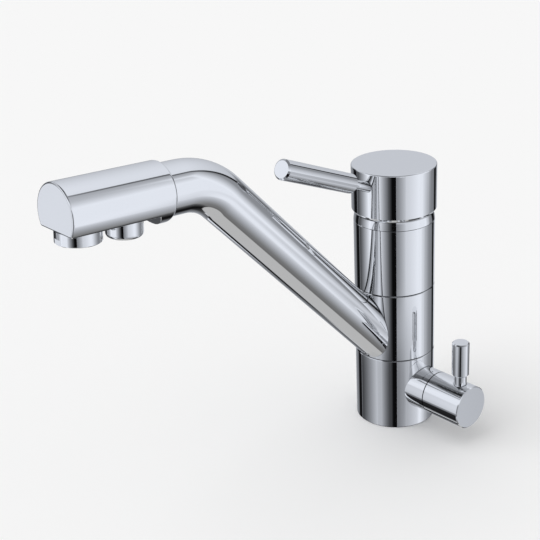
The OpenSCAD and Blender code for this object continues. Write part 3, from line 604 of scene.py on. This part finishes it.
def spout_lines(collar_low):
    """The spout's lines, from the height of the collar's lower face."""
    start = collar_low + TUBE_LIFT + TUBE_R / math.cos(RISE_ANGLE) - BODY_R * math.tan(RISE_ANGLE)
    rise = along(RISE_ANGLE)
    corner = UP * start + rise * RISE_LENGTH
    return SpoutLines(corner, rise, along(HEAD_TILT), above(RISE_ANGLE), above(HEAD_TILT))


def quarter_turns(steps):
    """Angles from 0 to a quarter turn."""
    return [math.pi / 2 * step / steps for step in range(steps + 1)]


def full_turns():
    """Angles of a full turn, one for each segment of a skin."""
    return [2 * math.pi * step / SKIN_SEGMENTS for step in range(SKIN_SEGMENTS)]


def circle(centre, upwards, radius):
    """A ring of points round a centre, in the plane of the sideways axis and the one upwards."""
    return [centre + SIDE * radius * math.cos(turn) + upwards * radius * math.sin(turn)
            for turn in full_turns()]


def joint_ring(lines, radius, column):
    """The ring where a tube of this radius meets a column of that radius."""
    points = []
    for turn in full_turns():
        across = radius * math.cos(turn)
        up = radius * math.sin(turn)
        reach = math.sqrt(column ** 2 - across ** 2)
        back = RISE_LENGTH - (up * math.sin(RISE_ANGLE) + reach) / math.cos(RISE_ANGLE)
        points.append(lines.corner - lines.rise * back + SIDE * across + lines.above_rise * up)
    return points


def tube_wall_rings(lines, radius):
    """Rings of one wall of the spout tube, from above the joint to the end inside the head."""
    bend = RISE_ANGLE - HEAD_TILT
    tangent = BEND_RADIUS * math.tan(bend / 2)
    bend_start = lines.corner - lines.rise * tangent
    joint = joint_ring(lines, radius, BODY_R + TUBE_GAP + JOINT_EDGE)
    first = circle(bend_start, lines.above_rise, radius)
    rings = []
    for step in range(1, RUN_STEPS):
        share = step / RUN_STEPS
        rings.append([low.lerp(high, share) for low, high in zip(joint, first)])
    centre = bend_start - lines.above_rise * BEND_RADIUS
    for step in range(BEND_STEPS + 1):
        upwards = above(RISE_ANGLE - bend * step / BEND_STEPS)
        rings.append(circle(centre + upwards * BEND_RADIUS, upwards, radius))
    for step in range(1, RUN_STEPS + 1):
        distance = tangent + (RUN_LENGTH - TUBE_END - tangent) * step / RUN_STEPS
        rings.append(circle(lines.corner + lines.run * distance, lines.above_run, radius))
    return rings


def build_spout_tube(lines, chrome_finish):
    """The bent tube in one smooth skin, inside and out, with a softened edge at the column."""
    edge = []
    for turn in quarter_turns(EDGE_STEPS):
        radius = TUBE_R - JOINT_EDGE * (1 - math.cos(turn))
        column = BODY_R + TUBE_GAP + JOINT_EDGE * (1 - math.sin(turn))
        edge.append(joint_ring(lines, radius, column))
    inside = TUBE_R - TUBE_WALL
    outer = list(reversed(edge)) + tube_wall_rings(lines, TUBE_R)
    inner = [joint_ring(lines, inside, BODY_R + TUBE_GAP)] + tube_wall_rings(lines, inside)
    rings = outer + list(reversed(inner))
    skin("spout_tube_skin", rings, chrome_finish, "spout", "spout_tube", True)


def head_profile(radius, depth):
    """One cross-section of the head as sideways and upward offsets: a circle with a rounded flat below."""
    depth = min(depth, radius - LEAST_FLAT)
    edge = min(FLAT_EDGE, (radius - depth) / 2)
    middle = math.sqrt((radius - edge) ** 2 - (depth - edge) ** 2)
    opening = math.atan2(middle, depth - edge)
    corner = []
    for step in range(CORNER_POINTS):
        turn = opening * step / CORNER_POINTS
        corner.append((middle + edge * math.sin(turn), edge - depth - edge * math.cos(turn)))
    sweep = 2 * (math.pi - opening)
    arc = [opening + sweep * step / SKIN_SEGMENTS for step in range(SKIN_SEGMENTS + 1)]
    round_part = [(radius * math.sin(turn), -radius * math.cos(turn)) for turn in arc]
    other_corner = [(-across, up) for across, up in reversed(corner)]
    flat = [(-middle + 2 * middle * step / FLAT_POINTS, -depth) for step in range(1, FLAT_POINTS)]
    return corner + round_part + other_corner + flat


def head_stations():
    """For each ring of the head: its distance back from the end, its inset and the flat's depth."""
    stations = []
    for turn in reversed(quarter_turns(EDGE_STEPS)):
        back = HEAD_FRONT_EDGE * (1 - math.sin(turn))
        stations.append((back, HEAD_FRONT_EDGE * (1 - math.cos(turn)), HEAD_FLAT))
    flat_run = FLAT_LENGTH - STEP_EDGE - HEAD_FRONT_EDGE
    for step in range(1, RUN_STEPS + 1):
        stations.append((HEAD_FRONT_EDGE + flat_run * step / RUN_STEPS, 0, HEAD_FLAT))
    step_run = (HEAD_R - HEAD_FLAT) * STEP_SLOPE + STEP_EDGE
    for step in range(1, STEP_STEPS + 1):
        back = FLAT_LENGTH - STEP_EDGE + step_run * step / STEP_STEPS
        stations.append((back, 0, HEAD_FLAT + max(0, back - FLAT_LENGTH) / STEP_SLOPE))
    for turn in quarter_turns(REAR_EDGE_STEPS):
        back = HEAD_LENGTH - HEAD_REAR_EDGE + HEAD_REAR_EDGE * math.sin(turn)
        stations.append((back, HEAD_REAR_EDGE * (1 - math.cos(turn)), HEAD_R))
    to_tube = HEAD_R - TUBE_R - TUBE_GAP / 2
    stations.append((HEAD_LENGTH, to_tube, HEAD_R))
    stations.append((HEAD_LENGTH - 2 * HEAD_REAR_EDGE, to_tube, HEAD_R))
    return stations


def build_head_casing(lines, chrome_finish):
    """The round head with its flat underside, the sloping step behind it and rounded ends."""
    tip = lines.corner + lines.run * RUN_LENGTH
    rings = []
    for back, inset, depth in head_stations():
        centre = tip - lines.run * back
        profile = head_profile(HEAD_R - inset, depth - inset)
        rings.append([centre + SIDE * across + lines.above_run * up for across, up in profile])
    skin("head_casing_skin", rings, chrome_finish, "spout", "head_casing")


bpy.context.scene.view_settings.view_transform = "Standard"

build_world()
build_lamp()
build_floor()
build_camera()
finishes = build_finishes()
dress_nodes(finishes)
spout = spout_lines(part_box("swivel_collar")[0].z)
build_spout_tube(spout, finishes["chrome_plate"])
build_head_casing(spout, finishes["chrome_plate"])
